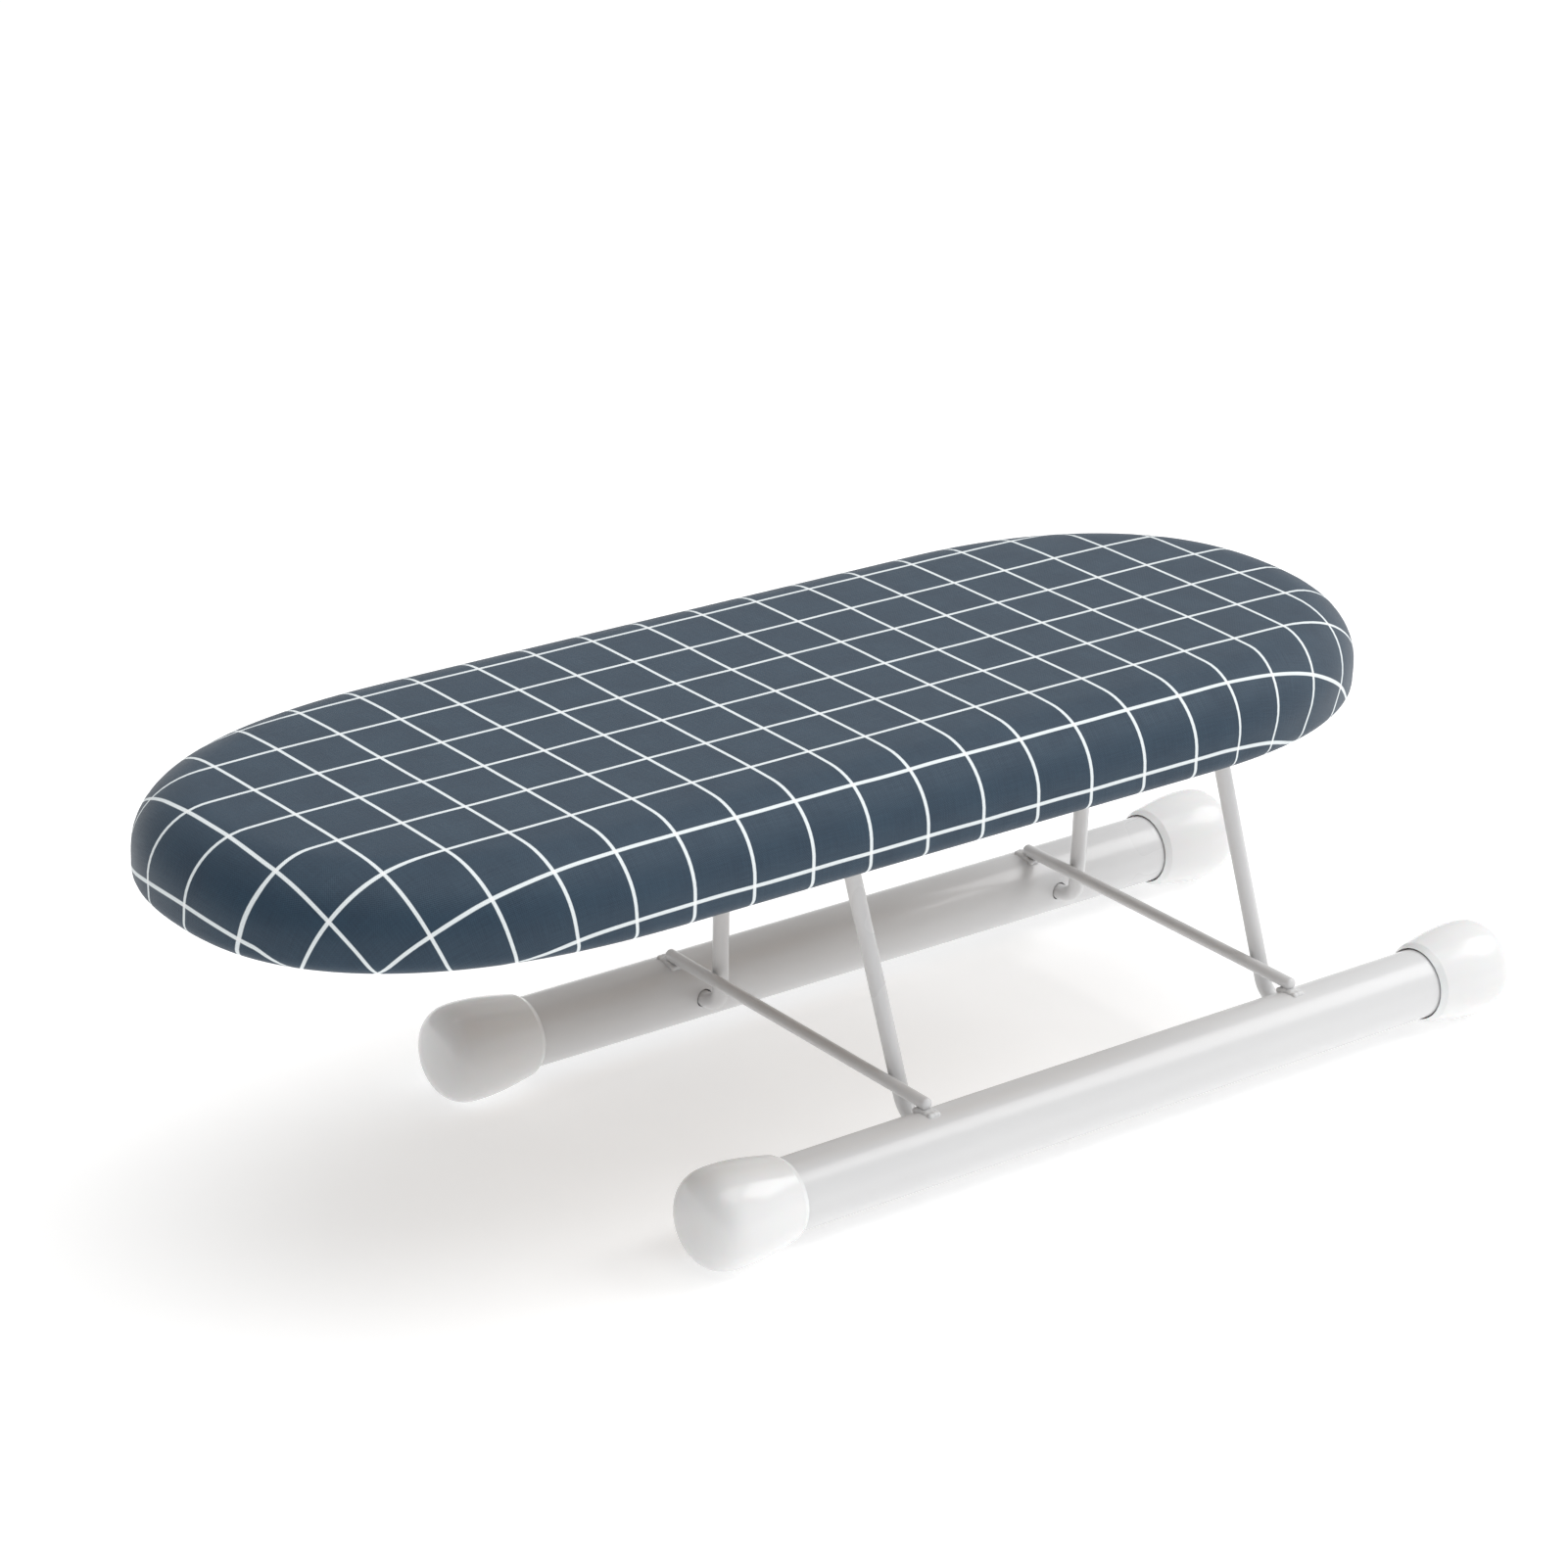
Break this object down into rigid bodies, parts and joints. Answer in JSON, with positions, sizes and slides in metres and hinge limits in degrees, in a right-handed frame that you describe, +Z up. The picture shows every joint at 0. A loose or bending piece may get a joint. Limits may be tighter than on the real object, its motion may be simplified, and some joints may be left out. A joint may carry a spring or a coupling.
{
  "type": "tabletop ironing board",
  "caption": "Small padded tabletop ironing board with rounded ends and a window-check cover, on two folding wire legs over a two-tube base with bulbous end caps.",
  "frame": {"origin": "under the middle of the whole object's box, on the surface that the end caps stand on", "axes": "+X along the board, towards the end where the base sticks out; +Y across it; +Z up"},
  "size_m": [0.5286, 0.1864, 0.1674],
  "materials": {
    "cotton_cover": "slate blue woven cotton with a thin white window check",
    "pad_foam": "matte open-cell foam",
    "elastic": "ribbed white woven elastic",
    "fibreboard": "bare medium-density fibreboard",
    "white_steel": "satin white powder coat",
    "white_plastic": "glossy white moulded plastic",
    "zinc_steel": "bright zinc plate"
  },
  "bodies": {
    "base_frame": {"front_foot_tube": "white_steel", "rear_foot_tube": "white_steel", "left_cross_rod": "white_steel", "right_cross_rod": "white_steel", "left_front_end_cap": "white_plastic", "left_rear_end_cap": "white_plastic", "right_front_end_cap": "white_plastic", "right_rear_end_cap": "white_plastic"},
    "left_leg_frame": {"left_leg_wire": "white_steel"},
    "right_leg_frame": {"right_leg_wire": "white_steel"},
    "board": {"board_panel": "fibreboard", "foam_pad": "pad_foam", "fabric_cover": "cotton_cover", "elastic_edging": "elastic", "left_front_hinge_clip": "zinc_steel", "left_rear_hinge_clip": "zinc_steel", "right_front_hinge_clip": "zinc_steel", "right_rear_hinge_clip": "zinc_steel", "left_front_hinge_clip_inner_screw": "zinc_steel", "left_front_hinge_clip_outer_screw": "zinc_steel", "left_rear_hinge_clip_inner_screw": "zinc_steel", "left_rear_hinge_clip_outer_screw": "zinc_steel", "right_front_hinge_clip_inner_screw": "zinc_steel", "right_front_hinge_clip_outer_screw": "zinc_steel", "right_rear_hinge_clip_inner_screw": "zinc_steel", "right_rear_hinge_clip_outer_screw": "zinc_steel"}
  },
  "joints": [
    {"name": "left_leg_fold", "type": "hinge", "parent": "base_frame", "child": "left_leg_frame", "pos_m": [-0.00244, 0, 0.018], "axis": [0, 1, 0], "range_deg": [0, 91]},
    {"name": "board_pivot", "type": "hinge", "parent": "left_leg_frame", "child": "board", "pos_m": [-0.02262, 0, 0.1334], "axis": [0, 1, 0], "range_deg": [-91, 0]},
    {"name": "right_leg_fold", "type": "hinge", "parent": "base_frame", "child": "right_leg_frame", "pos_m": [0.17026, 0, 0.018], "axis": [0, 1, 0], "range_deg": [0, 91]}
  ],
  "couplings": [
    {"joint": "board_pivot", "follows": "left_leg_fold", "ratio": -1},
    {"joint": "right_leg_fold", "follows": "left_leg_fold", "ratio": 1}
  ]
}
